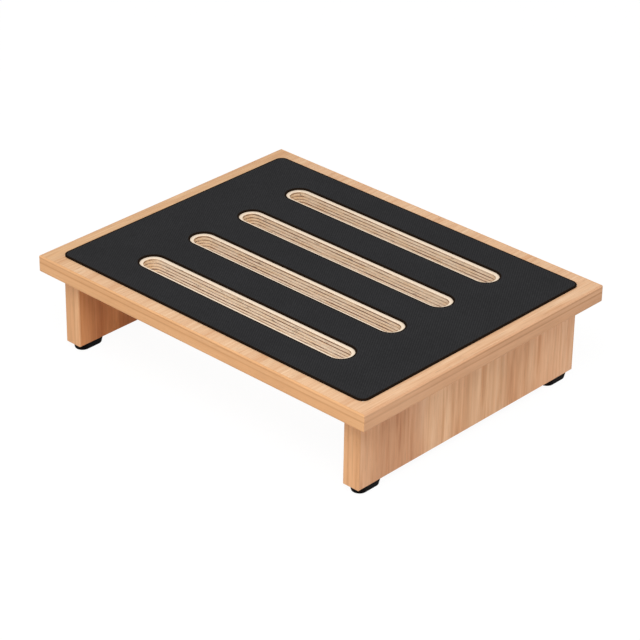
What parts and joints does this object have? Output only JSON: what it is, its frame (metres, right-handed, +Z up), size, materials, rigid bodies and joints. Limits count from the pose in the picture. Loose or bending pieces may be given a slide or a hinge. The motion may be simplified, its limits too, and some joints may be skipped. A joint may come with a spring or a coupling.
{
  "type": "footrest",
  "caption": "Free-standing wooden under-desk footrest: a level slotted board with a black non-slip mat, on two side panels with rubber feet.",
  "frame": {"origin": "on the floor below the middle of the board, level with the feet's undersides", "axes": "+X along the long side and the slots, to the right as seen from the front; +Y to the back; +Z up"},
  "size_m": [0.45, 0.356, 0.1086],
  "materials": {
    "birch_plywood": "clear satin lacquer over birch plywood, its plies open to view in the slots",
    "wood_band": "clear satin lacquer over solid wood banding",
    "veneered_panel": "clear satin lacquer over upright-grained wood with tan and red-brown bands",
    "beech_dowel": "plain beech",
    "mat_rubber": "matt black with a fine grain",
    "foot_rubber": "smooth black moulded rubber",
    "zinc_steel": "bright zinc plating"
  },
  "bodies": {
    "root": {"top_board": "birch_plywood", "edge_band_front": "wood_band", "edge_band_right": "wood_band", "edge_band_back": "wood_band", "edge_band_left": "wood_band", "non_slip_mat": "mat_rubber", "side_panel_left": "veneered_panel", "side_panel_right": "veneered_panel", "panel_band_left_front": "wood_band", "panel_band_left_back": "wood_band", "panel_band_right_front": "wood_band", "panel_band_right_back": "wood_band", "dowel_left_1": "beech_dowel", "dowel_left_2": "beech_dowel", "dowel_right_1": "beech_dowel", "dowel_right_2": "beech_dowel", "panel_screw_left_1": "zinc_steel", "panel_screw_left_2": "zinc_steel", "panel_screw_left_3": "zinc_steel", "panel_screw_right_1": "zinc_steel", "panel_screw_right_2": "zinc_steel", "panel_screw_right_3": "zinc_steel", "foot_left_front": "foot_rubber", "foot_left_back": "foot_rubber", "foot_right_front": "foot_rubber", "foot_right_back": "foot_rubber", "foot_washer_left_front_1": "zinc_steel", "foot_washer_left_front_2": "zinc_steel", "foot_washer_left_back_1": "zinc_steel", "foot_washer_left_back_2": "zinc_steel", "foot_washer_right_front_1": "zinc_steel", "foot_washer_right_front_2": "zinc_steel", "foot_washer_right_back_1": "zinc_steel", "foot_washer_right_back_2": "zinc_steel", "foot_screw_left_front_1": "zinc_steel", "foot_screw_left_front_2": "zinc_steel", "foot_screw_left_back_1": "zinc_steel", "foot_screw_left_back_2": "zinc_steel", "foot_screw_right_front_1": "zinc_steel", "foot_screw_right_front_2": "zinc_steel", "foot_screw_right_back_1": "zinc_steel", "foot_screw_right_back_2": "zinc_steel"}
  },
  "joints": []
}
